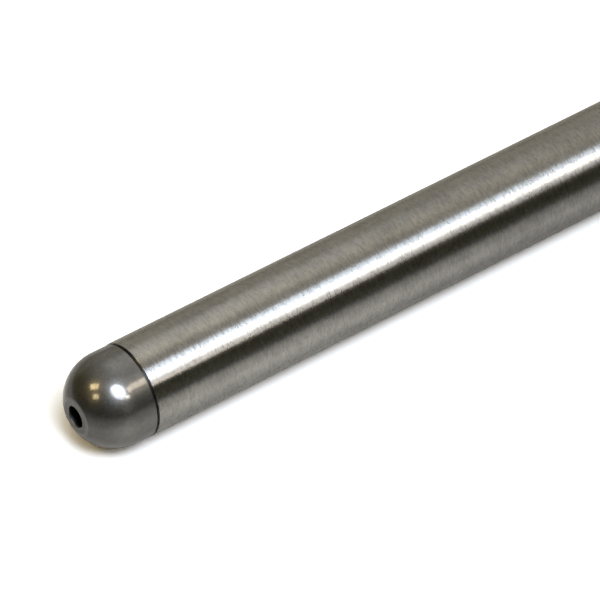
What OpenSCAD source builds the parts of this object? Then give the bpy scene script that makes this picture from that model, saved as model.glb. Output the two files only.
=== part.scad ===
// Engine pushrod: a straight steel tube with a turned ball tip pressed into each end.
// The rod lies along X with the middle of its length at the origin.
// Oil passes from nose to nose, through the hole in each tip and the bore of the tube.

/* [Rod] */
// Length over both tips, from nose flat to nose flat
overall_length = 198; // [120:0.5:320]
// Outside diameter of the tube
tube_d = 7.94; // [7:0.02:12]
// Wall thickness of the tube
tube_wall = 2.03; // [1:0.01:2.6]
// Chamfer on the outside edge of each tube end
tube_edge = 0.03; // [0.01:0.01:0.2]
// Chamfer at each mouth of the tube's bore
bore_lead = 0.3; // [0.15:0.05:0.5]

/* [Tip head] */
// How far the head's surface lies below the tube's surface
head_step = 0.045; // [0.01:0.005:0.3]
// Length from the tube's end to the widest circle of the ball
land_length = 1.65; // [0.5:0.05:4]
// Chamfer on the back edge of the head
head_edge = 0.03; // [0.01:0.01:0.2]
// Diameter of the circle where the plane of the nose flat cuts the ball
nose_cut_d = 3.1; // [2.4:0.05:5]
// Radial width by which the bevel round the nose flat narrows that flat
nose_bevel_width = 0.1; // [0.02:0.02:0.2]
// Slope of that bevel, in degrees from the flat
nose_bevel = 12; // [4:1:16]

/* [Seam] */
// Width of the groove that shows between head and tube
seam_width = 0.2; // [0.05:0.01:0.4]
// Depth of that groove, from the head's surface to the ring that seats on the tube
seam_depth = 0.5; // [0.1:0.05:0.8]

/* [Tip shank and oil hole] */
// Diameter of the oil hole through each tip
oil_hole_d = 1.85; // [0.8:0.01:2.4]
// Chamfer at the mouth of the oil hole
hole_edge = 0.05; // [0.02:0.01:0.15]
// Length of the shank that is pressed into the tube
shank_length = 10; // [4:0.5:30]
// Gap round the shank, drawn in place of the press fit's squeeze
press_gap = 0.01; // [0:0.005:0.05]
// How much smaller the fillet at the shank's root is than the bore chamfer round it
root_clearance = 0.1; // [0.02:0.01:0.12]
// Radial height of the lead-in cone at the shank's end
lead_rise = 0.25; // [0.1:0.05:0.6]
// Length of that lead-in cone
lead_run = 0.9; // [0.3:0.1:3]

/* [Hidden] */
$fn = 128;

tube_r = tube_d / 2;
bore_r = tube_r - tube_wall;
head_r = tube_r - head_step;
seat_r = head_r - seam_depth;
shank_r = bore_r - press_gap;
root_fillet = bore_lead - root_clearance;
hole_r = oil_hole_d / 2;
cut_r = nose_cut_d / 2;
flat_r = cut_r - nose_bevel_width;

// Heights along a tip are measured from the tube's end.
nose_height = land_length + sqrt(pow(head_r, 2) - pow(cut_r, 2));

tube_length = overall_length - 2 * nose_height;
// Extra length by which a cutting shape stands past what it cuts
overshoot = 1;

ground_steel = [0.56, 0.55, 0.53];
hardened_steel = [0.42, 0.41, 0.39];

// Half section of the tube's wall, with its length along Y
module wall_section() {
    half = tube_length / 2;
    polygon([
        [bore_r, half - bore_lead],
        [bore_r + bore_lead, half],
        [tube_r - tube_edge, half],
        [tube_r, half - tube_edge],
        [tube_r, tube_edge - half],
        [tube_r - tube_edge, -half],
        [bore_r + bore_lead, -half],
        [bore_r, bore_lead - half]
    ]);
}

// Ball from its widest circle up to the nose, which is cut flat and bevelled
module ball_section() {
    reach = 2 * head_r;
    intersection() {
        translate([0, land_length]) circle(r = head_r);
        polygon([
            [0, land_length],
            [reach, land_length],
            [reach, nose_height - (reach - flat_r) * tan(nose_bevel)],
            [flat_r, nose_height],
            [0, nose_height]
        ]);
    }
}

// Straight band behind the ball, the groove, the ring that seats on the tube, and the
// shank inside the tube with its root fillet and its lead-in cone
module land_and_shank_section() {
    difference() {
        polygon([
            [0, -shank_length],
            [shank_r - lead_rise, -shank_length],
            [shank_r, lead_run - shank_length],
            [shank_r, -root_fillet],
            [shank_r + root_fillet, -root_fillet],
            [shank_r + root_fillet, 0],
            [seat_r, 0],
            [seat_r, seam_width],
            [head_r - head_edge, seam_width],
            [head_r, seam_width + head_edge],
            [head_r, land_length],
            [0, land_length]
        ]);
        translate([shank_r + root_fillet, -root_fillet]) circle(r = root_fillet);
    }
}

// Oil hole on the axis, with its broken edge at the nose
module oil_hole_section() {
    translate([0, -shank_length - overshoot])
        square([hole_r, shank_length + nose_height + 2 * overshoot]);
    polygon([
        [0, nose_height - hole_edge],
        [hole_r, nose_height - hole_edge],
        [hole_r + hole_edge, nose_height],
        [hole_r + hole_edge, nose_height + overshoot],
        [0, nose_height + overshoot]
    ]);
}

// One tip, standing on the tube's end with its nose towards +Z
module ball_tip() {
    color(hardened_steel)
        rotate_extrude()
            difference() {
                union() {
                    land_and_shank_section();
                    ball_section();
                }
                oil_hole_section();
            }
}

module tube() {
    color(ground_steel)
        rotate([0, 90, 0]) rotate_extrude() wall_section();
}

// The tip at the -X end, which rides in the lifter's cup
module lifter_tip() {
    translate([-tube_length / 2, 0, 0]) rotate([0, -90, 0]) ball_tip();
}

// The tip at the +X end, which rides in the rocker arm's cup
module rocker_tip() {
    translate([tube_length / 2, 0, 0]) rotate([0, 90, 0]) ball_tip();
}

tube();
lifter_tip();
rocker_tip();
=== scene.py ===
from math import atan2, cos, pi, radians, sin, sqrt, tan

import bpy
from mathutils import Matrix, Vector


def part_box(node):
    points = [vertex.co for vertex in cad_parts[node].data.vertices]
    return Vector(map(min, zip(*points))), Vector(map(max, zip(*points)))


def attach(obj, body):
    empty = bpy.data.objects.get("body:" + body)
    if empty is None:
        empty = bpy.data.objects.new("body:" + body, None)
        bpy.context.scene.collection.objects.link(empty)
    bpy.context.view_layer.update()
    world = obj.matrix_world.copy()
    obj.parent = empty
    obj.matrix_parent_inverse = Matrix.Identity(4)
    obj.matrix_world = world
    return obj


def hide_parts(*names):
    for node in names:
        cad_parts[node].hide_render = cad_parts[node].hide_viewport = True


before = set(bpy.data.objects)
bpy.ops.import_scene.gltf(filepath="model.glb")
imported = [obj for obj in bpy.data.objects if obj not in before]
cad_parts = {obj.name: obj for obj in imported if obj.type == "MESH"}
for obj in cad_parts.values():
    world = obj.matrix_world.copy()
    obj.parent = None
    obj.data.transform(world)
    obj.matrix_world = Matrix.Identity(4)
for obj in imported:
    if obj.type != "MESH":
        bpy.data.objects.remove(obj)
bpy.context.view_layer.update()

# Tube
# Straight steel tube, centreless ground outside, with an open bore for oil.
# Its ends are cut square, with a trace of a chamfer outside and a lead-in at the bore.
MM = 0.001
tube_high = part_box("tube")[1]
tube_end = tube_high[0]
tube_r = tube_high[2]
tube_wall = 2.03 * MM
tube_edge = 0.03 * MM
bore_r = tube_r - tube_wall
bore_lead = 0.3 * MM
edge_round = 0.048 * MM
arc_steps = 4
straight_cosine = 0.9999
tube_margin = 0.01 * MM
margins_to_hold = 6
sides = 256


def rounded(corners):
    """Closed section through corners (x, r, round), each corner eased by an arc of that radius."""
    section = []
    for i, (x, r, ease) in enumerate(corners):
        here = Vector((x, r))
        before = (Vector(corners[i - 1][:2]) - here).normalized()
        after = (Vector(corners[(i + 1) % len(corners)][:2]) - here).normalized()
        if ease == 0 or abs(before.dot(after)) > straight_cosine:
            section.append(here)
            continue
        half = before.angle(after) / 2
        reach = ease / tan(half)
        centre = here + (before + after).normalized() * (ease / sin(half))
        start = here + before * reach - centre
        turn = start.angle_signed(here + after * reach - centre)
        for k in range(arc_steps + 1):
            section.append(centre + Matrix.Rotation(-turn * k / arc_steps, 2) @ start)
    return section


def held(section, margin):
    """The section with a point close to each end of its long straight stretches, to shade them flat."""
    firm = []
    for i, here in enumerate(section):
        after = section[(i + 1) % len(section)]
        firm.append(here)
        run = after - here
        if run.length > margins_to_hold * margin:
            firm.append(here + run.normalized() * margin)
            firm.append(after - run.normalized() * margin)
    return firm


def into_scene(name, data):
    """New object that holds the data, put into the scene."""
    thing = bpy.data.objects.new(name, data)
    bpy.context.scene.collection.objects.link(thing)
    return thing


def turned(name, section):
    """Mesh object made by turning a closed section of (x, r) points about the X axis."""
    ring = [(cos(2 * pi * k / sides), sin(2 * pi * k / sides)) for k in range(sides)]
    verts = [(x, r * y, r * z) for x, r in section for y, z in ring]
    faces = []
    for i in range(len(section)):
        row = i * sides
        next_row = (i + 1) % len(section) * sides
        for k in range(sides):
            after = (k + 1) % sides
            faces.append((row + k, row + after, next_row + after, next_row + k))
    mesh = bpy.data.meshes.new(name)
    mesh.from_pydata(verts, [], faces)
    mesh.shade_smooth()
    return into_scene(name, mesh)


tube_section = rounded([
    (-tube_end, bore_r + bore_lead, 0),
    (-tube_end, tube_r - tube_edge, edge_round),
    (tube_edge - tube_end, tube_r, edge_round),
    (tube_end - tube_edge, tube_r, edge_round),
    (tube_end, tube_r - tube_edge, edge_round),
    (tube_end, bore_r + bore_lead, 0),
    (tube_end - bore_lead, bore_r, 0),
    (bore_lead - tube_end, bore_r, 0),
])
ground_tube = turned("ground_tube", held(tube_section, tube_margin))
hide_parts("tube")
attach(ground_tube, "root")


def new_material(name):
    """Material made of nodes; gives the material and its tree."""
    material = bpy.data.materials.new(name)
    material.use_nodes = True
    return material, material.node_tree


def add(tree, kind, **settings):
    """New shader node of a kind, with its own settings."""
    node = tree.nodes.new("ShaderNode" + kind)
    for setting, value in settings.items():
        setattr(node, setting, value)
    return node


def feed(tree, socket, source):
    """Give a node's input a number, a colour or another node's output."""
    if isinstance(source, bpy.types.NodeSocket):
        tree.links.new(source, socket)
    else:
        socket.default_value = source


def maths(tree, operation, a, b=0):
    """Output of a Math node on one or two numbers or outputs."""
    node = add(tree, "Math", operation=operation)
    feed(tree, node.inputs[0], a)
    feed(tree, node.inputs[1], b)
    return node.outputs[0]


def remap(tree, value, low, high, to_low, to_high, curve="LINEAR"):
    """Output that takes a value's range from low to high onto another range."""
    node = add(tree, "MapRange", interpolation_type=curve)
    for label, number in (("From Min", low), ("From Max", high), ("To Min", to_low), ("To Max", to_high)):
        feed(tree, node.inputs[label], number)
    feed(tree, node.inputs["Value"], value)
    return node.outputs["Result"]


def weighted(tree, first, second, share):
    """Sum of two outputs, the first with a share and the second with the rest."""
    first_part = maths(tree, "MULTIPLY", first, share)
    second_part = maths(tree, "MULTIPLY", second, 1 - share)
    return maths(tree, "ADD", first_part, second_part)


# Places of a Mix node's two colour inputs and of its colour output
mix_first, mix_second, mix_out = 6, 7, 2


def blend(tree, factor, first, second, kind="MIX"):
    """Colour made from two others by a factor."""
    node = add(tree, "Mix", data_type="RGBA", blend_type=kind)
    feed(tree, node.inputs["Factor"], factor)
    feed(tree, node.inputs[mix_first], first)
    feed(tree, node.inputs[mix_second], second)
    return node.outputs[mix_out]


def new_group(name, inputs, output):
    """Node group with number inputs and one number output; gives the group, its inputs and its end."""
    group = bpy.data.node_groups.new(name, "ShaderNodeTree")
    for label, value in inputs:
        socket = group.interface.new_socket(label, in_out="INPUT", socket_type="NodeSocketFloat")
        socket.default_value = value
    group.interface.new_socket(output, in_out="OUTPUT", socket_type="NodeSocketFloat")
    return group, group.nodes.new("NodeGroupInput").outputs, group.nodes.new("NodeGroupOutput").inputs[0]


def place(tree, group, **values):
    """Output of a group placed in a material with its own values."""
    node = add(tree, "Group", node_tree=group)
    for label, value in values.items():
        feed(tree, node.inputs[label], value)
    return node.outputs[0]


def stretched(tree, along, across):
    """Object coordinates counted in steps of two sizes: along the rod's axis and across it."""
    step = add(tree, "CombineXYZ")
    for axis, size in (("X", along), ("Y", across), ("Z", across)):
        feed(tree, step.inputs[axis], size)
    ratio = add(tree, "VectorMath", operation="DIVIDE")
    feed(tree, ratio.inputs[0], add(tree, "TexCoord").outputs["Object"])
    feed(tree, ratio.inputs[1], step.outputs[0])
    return ratio.outputs[0]


def noise(tree, vector, contrast, detail, roughness=0.5):
    """Noise of unit size at a vector, with the given part of its range drawn out to 0 and 1."""
    node = add(tree, "TexNoise")
    feed(tree, node.inputs["Scale"], 1)
    feed(tree, node.inputs["Detail"], detail)
    feed(tree, node.inputs["Roughness"], roughness)
    feed(tree, node.inputs["Vector"], vector)
    return remap(tree, node.outputs[0], *contrast, 0, 1)


def streaks_group():
    """Noise drawn out round the axis, as a grinding wheel or a lathe leaves it."""
    inputs = (("Pitch", 0.2 * MM), ("Length", 1 * MM), ("Detail", 2))
    group, given, end = new_group("ring_streaks", inputs, "Streaks")
    vector = stretched(group, given["Pitch"], given["Length"])
    feed(group, end, noise(group, vector, contrast=(0.25, 0.75), detail=given["Detail"], roughness=0.6))
    return group


def first_channel(tree, colour):
    """First channel of a colour, used as a random number for each cell."""
    split = add(tree, "SeparateColor")
    feed(tree, split.inputs[0], colour)
    return split.outputs[0]


def specks_group():
    """Small dots, one in some of the cells of a random pattern."""
    inputs = (("Spacing", 1 * MM), ("Size", 0.06 * MM), ("Share", 0.3))
    group, given, end = new_group("specks", inputs, "Specks")
    cells = add(group, "TexVoronoi")
    feed(group, cells.inputs["Scale"], 1)
    feed(group, cells.inputs["Vector"], stretched(group, given["Spacing"], given["Spacing"]))
    chosen = maths(group, "LESS_THAN", first_channel(group, cells.outputs["Color"]), given["Share"])
    edge = maths(group, "DIVIDE", given["Size"], given["Spacing"])
    near = remap(group, cells.outputs["Distance"], 0, edge, 1, 0, "SMOOTHSTEP")
    feed(group, end, maths(group, "MULTIPLY", near, chosen))
    return group


ring_streaks = streaks_group()
specks = specks_group()

# Ground finish: rings left by the wheel, a few specks, and gloss that spreads along the rod
ground_dark = (0.27, 0.266, 0.257, 1)
ground_light = (0.53, 0.524, 0.508, 1)
ground_speck = (0.14, 0.135, 0.12, 1)
ground_rough = (0.26, 0.30)
ground_fine_share = 0.65
ground_steel, ground = new_material("ground_steel")
ground_shader = ground.nodes["Principled BSDF"]
ground_shader.distribution = "GGX"
ground_fine = place(ground, ring_streaks, Pitch=0.19 * MM, Length=0.6 * MM)
ground_broad = place(ground, ring_streaks, Pitch=2.5 * MM, Length=1.6 * MM)
ground_tone = weighted(ground, ground_fine, ground_broad, ground_fine_share)
ground_dots = place(ground, specks, Spacing=1.1 * MM, Size=0.07 * MM, Share=0.3)
ground_skin = blend(ground, ground_tone, ground_dark, ground_light)
feed(ground, ground_shader.inputs["Base Color"], blend(ground, ground_dots, ground_skin, ground_speck))
feed(ground, ground_shader.inputs["Roughness"], remap(ground, ground_fine, 0, 1, *ground_rough))
feed(ground, ground_shader.inputs["Metallic"], 1)
feed(ground, ground_shader.inputs["Anisotropic"], 1)
feed(ground, ground_shader.inputs["Anisotropic Rotation"], 0.25)
feed(ground, ground_shader.inputs["Specular Tint"], (1, 0.97, 0.9, 1))
ground_tangent = add(ground, "Tangent", direction_type="RADIAL", axis="X")
feed(ground, ground_shader.inputs["Tangent"], ground_tangent.outputs[0])
ground_bump = add(ground, "Bump")
feed(ground, ground_bump.inputs["Distance"], 0.001 * MM)
ground_relief = place(ground, ring_streaks, Pitch=0.3 * MM, Length=0.9 * MM, Detail=0)
feed(ground, ground_bump.inputs["Height"], ground_relief)
feed(ground, ground_shader.inputs["Normal"], ground_bump.outputs[0])
ground_tube.data.materials.append(ground_steel)

# Ball tips
# Turned and hardened steel tips, each with a drilled nose, a ball, a short land and a shank.
# The shank is pressed into the tube until the seat ring stops on the tube's end.
# The ring round the nose flat and the hole's lip are painted lighter, a painted highlight, and the bore is
# painted dark, a painted shade.
tip_low, tip_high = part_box("lifter_tip")
nose_height = -tube_end - tip_low[0]
shank_length = tip_high[0] + tube_end
head_r = tip_high[2]
land_length = 1.65 * MM
head_edge = 0.03 * MM
nose_flat_r = 1.45 * MM
nose_bevel = radians(12)
seam_width = 0.2 * MM
seam_depth = 0.5 * MM
seat_r = head_r - seam_depth
hole_r = 0.925 * MM
hole_edge = 0.05 * MM
press_gap = 0.01 * MM
shank_r = bore_r - press_gap
root_fillet = 0.2 * MM
lead_rise = 0.25 * MM
lead_run = 0.9 * MM
tip_margin = 0.02 * MM
ball_steps = 48


def bevel_meets_ball():
    """Radius at which the bevel's cone leaves the ball, from the line's and the circle's equations."""
    slope = tan(nose_bevel)
    rise = nose_height - land_length + slope * nose_flat_r
    a = 1 + slope ** 2
    b = -2 * slope * rise
    c = rise ** 2 - head_r ** 2
    return (-b + sqrt(b * b - 4 * a * c)) / (2 * a)


bevel_r = bevel_meets_ball()
bevel_height = nose_height - (bevel_r - nose_flat_r) * tan(nose_bevel)
ball_top = atan2(bevel_height - land_length, bevel_r)
ball_angles = [ball_top * k / ball_steps for k in range(ball_steps + 1)]
ball_arc = [(land_length + head_r * sin(angle), head_r * cos(angle), 0) for angle in ball_angles]
tip_corners = [
    (-shank_length, hole_r, 0),
    (-shank_length, shank_r - lead_rise, 0),
    (lead_run - shank_length, shank_r, 0),
    (0, shank_r, root_fillet),
    (0, seat_r, 0),
    (seam_width, seat_r, 0),
    (seam_width, head_r - head_edge, edge_round),
    (seam_width + head_edge, head_r, edge_round),
] + ball_arc + [
    (nose_height, nose_flat_r, 0),
    (nose_height, hole_r + hole_edge, edge_round),
    (nose_height - hole_edge, hole_r, edge_round),
]
tip_section = held(rounded(tip_corners), tip_margin)


def mottle_group():
    """Soft cloudy noise of a given size."""
    group, given, end = new_group("mottle", (("Size", 1 * MM),), "Mottle")
    vector = stretched(group, given["Size"], given["Size"])
    feed(group, end, noise(group, vector, contrast=(0.3, 0.7), detail=2))
    return group


def axes(tree):
    """X, Y and Z of the place on the object."""
    split = add(tree, "SeparateXYZ")
    feed(tree, split.inputs[0], add(tree, "TexCoord").outputs["Object"])
    return tuple(split.outputs)


def diagonal(tree, a, b):
    """Length of the diagonal of two outputs."""
    squares = maths(tree, "ADD", maths(tree, "MULTIPLY", a, a), maths(tree, "MULTIPLY", b, b))
    return maths(tree, "SQRT", squares)


mottle = mottle_group()

# Hardened finish: cloudy dark satin steel under a thin gloss, with a few specks
hardened_dark = (0.085, 0.081, 0.072, 1)
hardened_light = (0.14, 0.137, 0.131, 1)
hardened_painted_highlight = (0.3, 0.296, 0.285, 1)
hardened_speck = (0.05, 0.046, 0.038, 1)
hardened_bore_shade = (0.02, 0.019, 0.017, 1)
hardened_rough = (0.37, 0.43)
hardened_gloss = (0.65, 1)
hardened_cloud_share = 0.4
# Painted highlight on the ring round the nose flat and the hole's lip: its share, widths and reach
painted_highlight_share = 0.5
highlight_ring_width = 0.08 * MM
highlight_lip_width = 0.04 * MM
highlight_start = 0.32 * MM
highlight_full = 0.16 * MM
bore_shade_edge = 0.0125 * MM
nose_end = tube_end + nose_height
mouth_r = hole_r + hole_edge
hardened_steel, hardened = new_material("hardened_steel")
hardened_shader = hardened.nodes["Principled BSDF"]
hardened_cloud = place(hardened, mottle, Size=1.3 * MM)
hardened_grain = place(hardened, mottle, Size=0.12 * MM)
hardened_stain = place(hardened, mottle, Size=0.35 * MM)
hardened_tone = weighted(hardened, hardened_cloud, hardened_grain, hardened_cloud_share)
hardened_dots = place(hardened, specks, Spacing=1.4 * MM, Size=0.08 * MM, Share=0.3)
hardened_x, hardened_y, hardened_z = axes(hardened)
hardened_r = diagonal(hardened, hardened_y, hardened_z)
hardened_out = maths(hardened, "ABSOLUTE", hardened_x)
# Painted highlight: the nose's ring and the hole's lip are painted lighter near the nose
highlight_inside = remap(hardened, hardened_r, nose_flat_r - highlight_ring_width, nose_flat_r, 0, 1, "SMOOTHSTEP")
highlight_outside = remap(hardened, hardened_r, bevel_r, bevel_r + highlight_ring_width, 1, 0, "SMOOTHSTEP")
highlight_ring = maths(hardened, "MULTIPLY", highlight_inside, highlight_outside)
highlight_lip = remap(hardened, hardened_r, mouth_r, mouth_r + highlight_lip_width, 1, 0, "SMOOTHSTEP")
highlight_near_nose = remap(hardened, hardened_out, nose_end - highlight_start, nose_end - highlight_full, 0, 1, "SMOOTHSTEP")
painted_highlights = maths(hardened, "MULTIPLY", maths(hardened, "MAXIMUM", highlight_ring, highlight_lip), highlight_near_nose)
painted_highlights = maths(hardened, "MULTIPLY", painted_highlights, painted_highlight_share)
hardened_skin = blend(hardened, hardened_tone, hardened_dark, hardened_light)
hardened_skin = blend(hardened, hardened_dots, hardened_skin, hardened_speck)
# Painted shade: the bore is painted nearly black, fading out across its mouth's chamfer
painted_bore_shade = remap(hardened, hardened_r, hole_r + bore_shade_edge, mouth_r, 1, 0)
hardened_skin = blend(hardened, painted_bore_shade, hardened_skin, hardened_bore_shade)
hardened_skin = blend(hardened, painted_highlights, hardened_skin, hardened_painted_highlight)
feed(hardened, hardened_shader.inputs["Base Color"], hardened_skin)
feed(hardened, hardened_shader.inputs["Roughness"], remap(hardened, hardened_grain, 0, 1, *hardened_rough))
feed(hardened, hardened_shader.inputs["Metallic"], 1)
feed(hardened, hardened_shader.inputs["Coat Weight"], remap(hardened, hardened_stain, 0, 1, *hardened_gloss))
feed(hardened, hardened_shader.inputs["Coat IOR"], 2.0)
feed(hardened, hardened_shader.inputs["Coat Roughness"], 0.14)
feed(hardened, hardened_shader.inputs["Specular Tint"], (0.6, 0.59, 0.56, 1))
hardened_bump = add(hardened, "Bump")
feed(hardened, hardened_bump.inputs["Distance"], 0.0005 * MM)
feed(hardened, hardened_bump.inputs["Height"], hardened_grain)
feed(hardened, hardened_shader.inputs["Normal"], hardened_bump.outputs[0])

for name, node, side in (("lifter_ball_tip", "lifter_tip", -1), ("rocker_ball_tip", "rocker_tip", 1)):
    section = [Vector((side * (tube_end + x), r)) for x, r in tip_section]
    tip = turned(name, section if side > 0 else section[::-1])
    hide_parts(node)
    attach(tip, "root")
    tip.data.materials.append(hardened_steel)

# Floor
# A sheet of white paper that the rod lies on, seen as plain white with the rod's shadow on it.
# The metal shows it with painted light in its colour: tones brightest close to the rod's ends,
# dimmer away from there, and at least an even tone behind the rod.
floor_half = 1.5
paper_shown = (1.21, 1.19, 1.15, 1)
paper_tint = (1.0, 0.955, 0.89)
# Painted light: tone at each distance from the rod, in millimetres, up to the reach of the tones
painted_light_tones = ((4.2, 0.6), (8, 0.86), (14, 0.62), (34, 0.36), (60, 0.23), (100, 0.11))
paper_reach = 100
# Share of that painted tone at each distance past the rod's end, in millimetres, over one run
painted_light_shares = ((-60, 0.6), (-36, 0.66), (-20, 0.79), (-9, 0.75),
                (-6, 0.8), (-2, 1.0), (2, 0.7), (4, 0.6))
paper_run = (-60, 6)
paper_past_stretch = 1.8
# Painted light behind the rod: an even tone from a little way behind it
painted_back_light = 0.45
paper_back_from = 2 * MM
paper_back_to = 20 * MM
paper_back_past = 0.2
black = (0, 0, 0, 1)
floor_corners = [(-floor_half, -floor_half, -tube_r), (floor_half, -floor_half, -tube_r),
                 (floor_half, floor_half, -tube_r), (-floor_half, floor_half, -tube_r)]
floor_mesh = bpy.data.meshes.new("paper_floor")
floor_mesh.from_pydata(floor_corners, [], [(0, 1, 2, 3)])
floor = into_scene("paper_floor", floor_mesh)


def ramp(tree, position, stops):
    """Colour at a position from 0 to 1 between stops of (position, colour)."""
    node = add(tree, "ValToRGB")
    elements = node.color_ramp.elements
    while len(elements) < len(stops):
        elements.new(0)
    for element, (at, colour) in zip(elements, stops):
        element.position = at
        element.color = colour
    feed(tree, node.inputs[0], position)
    return node.outputs[0]


def paper_colour(tone):
    """Colour of the paper at a tone."""
    return [tone * part for part in paper_tint] + [1]


paper, sheet = new_material("white_paper")
sheet.nodes.remove(sheet.nodes["Principled BSDF"])
sheet_path = add(sheet, "LightPath").outputs
sheet_seen = maths(sheet, "MAXIMUM", sheet_path["Is Camera Ray"], sheet_path["Is Transmission Ray"])
sheet_x, sheet_y = axes(sheet)[:2]
sheet_past = maths(sheet, "SUBTRACT", maths(sheet, "ABSOLUTE", sheet_x), nose_end)
share_stops = [((mm - paper_run[0]) / (paper_run[1] - paper_run[0]), (share, share, share, 1))
               for mm, share in painted_light_shares]
sheet_share = ramp(sheet, remap(sheet, sheet_past, paper_run[0] * MM, paper_run[1] * MM, 0, 1), share_stops)
sheet_beyond = maths(sheet, "MULTIPLY", maths(sheet, "MAXIMUM", sheet_past, 0), paper_past_stretch)
sheet_gap = diagonal(sheet, sheet_beyond, sheet_y)
# Painted pool of light round the rod and its ends, shown to every ray but the camera's
tone_stops = [(mm / paper_reach, paper_colour(tone)) for mm, tone in painted_light_tones]
sheet_painted_tone = ramp(sheet, maths(sheet, "DIVIDE", sheet_gap, paper_reach * MM), tone_stops)
sheet_behind = maths(sheet, "MULTIPLY", remap(sheet, sheet_y, paper_back_from, paper_back_to, 0, 1),
                     remap(sheet, sheet_beyond, 0, paper_reach * MM, 1, paper_back_past))
sheet_near = blend(sheet, sheet_share, black, sheet_painted_tone)
sheet_back = blend(sheet, sheet_behind, black, paper_colour(painted_back_light))
sheet_painted_light = blend(sheet, 1, sheet_near, sheet_back, "LIGHTEN")
sheet_face = add(sheet, "BsdfDiffuse")
feed(sheet, sheet_face.inputs["Color"], blend(sheet, sheet_seen, sheet_painted_light, paper_shown))
feed(sheet, sheet.nodes["Material Output"].inputs["Surface"], sheet_face.outputs[0])
floor_mesh.materials.append(paper)

# Room light
# A dim room with a pale ceiling above and a pale wall behind the rod, which the metal shows.
# The room itself is never in view: past the paper the picture is plain white.
room_dark = (0.041, 0.039, 0.022, 1)
room_shown = (1, 1, 1, 1)
# Each patch: the way towards it, the dot products with that way at which it starts and is full, its colour
room_patches = (
    ((0.53, 0.39, 1.03), 0.3, 1.2, (0.47, 0.45, 0.415, 1)),
    ((0.2, 0.98, 0.0), 0.78, 1, (0.2, 0.187, 0.155, 1)),
    ((-0.45, 0.89, 0.08), 0.8, 1, (0.07, 0.06, 0.02, 1)),
)
world = bpy.data.worlds.new("room")
bpy.context.scene.world = world
world.use_nodes = True
room = world.node_tree
room_way = add(room, "TexCoord").outputs["Generated"]
room_colour = room_dark
for toward, start, full, colour in room_patches:
    facing = add(room, "VectorMath", operation="DOT_PRODUCT")
    feed(room, facing.inputs[0], room_way)
    feed(room, facing.inputs[1], toward)
    strength = remap(room, facing.outputs["Value"], start, full, 0, 1, "SMOOTHSTEP")
    room_colour = blend(room, strength, room_colour, colour, "ADD")
room_light = room.nodes["Background"]
feed(room, room_light.inputs["Color"], room_colour)
room_white = add(room, "Background")
feed(room, room_white.inputs["Color"], room_shown)
room_view = add(room, "MixShader")
feed(room, room_view.inputs["Fac"], add(room, "LightPath").outputs["Is Camera Ray"])
feed(room, room_view.inputs[1], room_light.outputs[0])
feed(room, room_view.inputs[2], room_white.outputs[0])
feed(room, room.nodes["World Output"].inputs["Surface"], room_view.outputs[0])

# Lamps
# Soft lamps that face the rod's near end: a cold softbox with a bright core, a warm panel with a
# faint glow below it, a small warm lamp close in front, and two warm lamps further left.
near_end = Vector((-tube_end, 0, 0))
lamp_distance = 0.45
tail_distance = 0.08
cold_white = (0.88, 0.92, 1.0)
cold_blue = (0.62, 0.78, 1.0)
warm_white = (1.0, 0.86, 0.68)


def face_near_end(thing, toward, distance, roll=0):
    """Put a lamp or a card at a distance from the rod's near end, facing it and rolled by some degrees."""
    away = Vector(toward).normalized()
    thing.location = near_end + away * distance
    thing.rotation_mode = "QUATERNION"
    twist = Matrix.Rotation(radians(roll), 4, "Z").to_quaternion()
    thing.rotation_quaternion = away.to_track_quat("Z", "Y") @ twist
    thing.visible_camera = False


def panel(name, toward, degrees, aspect, roll, level, colour, shape="ELLIPSE", distance=lamp_distance):
    """Area lamp as many degrees wide as asked, seen from the rod's near end, with a given radiance."""
    lamp = bpy.data.lights.new(name, "AREA")
    lamp.shape = shape
    lamp.size = 2 * distance * tan(radians(degrees) / 2)
    lamp.size_y = lamp.size * aspect
    area = lamp.size * lamp.size_y
    if shape == "ELLIPSE":
        area *= pi / 4
    lamp.energy = level * area * pi
    lamp.color = colour
    face_near_end(into_scene(name, lamp), toward, distance, roll)


panel("key_softbox", (-0.128, -0.552, 0.824), degrees=28.5, aspect=1.42, roll=37, level=7.2,
      colour=cold_white)
panel("key_core", (-0.105, -0.482, 0.87), degrees=20, aspect=1.25, roll=35, level=10.8, colour=cold_blue)
panel("warm_panel", (0.42, -0.542, 0.727), degrees=26, aspect=0.44, roll=-8, level=4.4, colour=warm_white,
      shape="RECTANGLE")
panel("warm_tail", (0.09, -0.79, 0.606), degrees=11, aspect=0.54, roll=-8, level=11,
      colour=(1.0, 0.88, 0.74), distance=tail_distance)
panel("warm_glow", (0.46, -0.67, 0.582), degrees=30, aspect=0.36, roll=-8, level=0.38, colour=warm_white)
panel("warm_lamp_high", (-0.616, 0.235, 0.722), degrees=18.6, aspect=0.62, roll=57, level=7.2,
      colour=(1.0, 0.77, 0.4), shape="RECTANGLE")
panel("warm_lamp_low", (-0.814, -0.055, 0.578), degrees=13, aspect=0.75, roll=34, level=5.8,
      colour=(1.0, 0.8, 0.45), shape="RECTANGLE")

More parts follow.
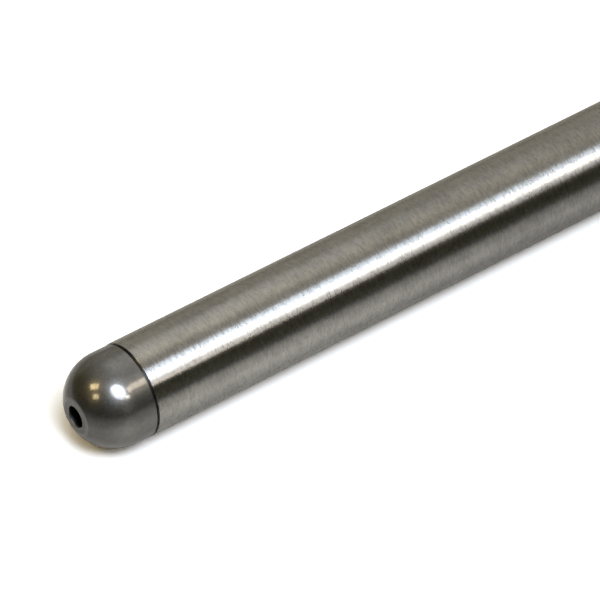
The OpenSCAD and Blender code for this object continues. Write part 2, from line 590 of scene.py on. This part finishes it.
# Glow cards
# Two pale round cards close to the near end: one above and behind it, a dim one low in front.
# Each is brightest in its middle and clear at its rim, so the room still shines through.
card_distance = 60 * MM
card_sides = 64
card_core = 0.18
card_rim = [(cos(2 * pi * k / card_sides), sin(2 * pi * k / card_sides), 0) for k in range(card_sides)]
card_mesh = bpy.data.meshes.new("glow_card")
card_mesh.from_pydata(card_rim, [], [range(card_sides)])
card_glow, glow = new_material("card_glow")
glow.nodes.remove(glow.nodes["Principled BSDF"])
glow_r = add(glow, "VectorMath", operation="LENGTH")
feed(glow, glow_r.inputs[0], add(glow, "TexCoord").outputs["Object"])
glow_soft = remap(glow, glow_r.outputs["Value"], card_core, 1, 1, 0, "SMOOTHSTEP")
glow_colour = add(glow, "ObjectInfo").outputs["Color"]
glow_light = add(glow, "Emission")
feed(glow, glow_light.inputs["Color"], blend(glow, glow_soft, black, glow_colour))
glow_sum = add(glow, "AddShader")
feed(glow, glow_sum.inputs[0], glow_light.outputs[0])
feed(glow, glow_sum.inputs[1], add(glow, "BsdfTransparent").outputs[0])
feed(glow, glow.nodes["Material Output"].inputs["Surface"], glow_sum.outputs[0])
card_mesh.materials.append(card_glow)


def glow_card(name, toward, radius, colour):
    """Round card that faces the rod's near end and glows in a colour."""
    card = into_scene(name, card_mesh)
    face_near_end(card, toward, card_distance)
    card.scale = (radius, radius, radius)
    card.color = colour


glow_card("ceiling_card", (0.36, 0.39, 0.85), 34 * MM, (0.52, 0.515, 0.495, 1))
glow_card("front_card", (-0.06, -0.97, 0.25), 18 * MM, (0.21, 0.2, 0.15, 1))

# Camera
# A long lens above and to the left of the near tip, looking down along the rod.
# It is placed so that the middle of the seam falls on one chosen point of the picture.
camera_azimuth = radians(-36.26)
camera_height = radians(42.66)
camera_radii = 140
camera_distance = camera_radii * tube_r
sensor_mm = 36
focal_px = 7148.57
picture_px = 600
seam_px = (129.56, 390.08)
camera_data = bpy.data.cameras.new("camera")
camera_data.sensor_width = sensor_mm
camera_data.lens = focal_px * sensor_mm / picture_px
camera = into_scene("camera", camera_data)
bpy.context.scene.camera = camera
right = Vector((cos(camera_azimuth), sin(camera_azimuth), 0))
back = Vector((sin(camera_azimuth) * cos(camera_height),
               -cos(camera_azimuth) * cos(camera_height),
               sin(camera_height)))
up = back.cross(right)
px_size = camera_distance / focal_px
aim = right * (seam_px[0] - picture_px / 2) * px_size + up * (picture_px / 2 - seam_px[1]) * px_size
camera.location = Vector((-tube_end - seam_width / 2, 0, 0)) + back * camera_distance - aim
camera.rotation_euler = Matrix((right, up, back)).transposed().to_euler()

bpy.context.scene.view_settings.view_transform = "Standard"
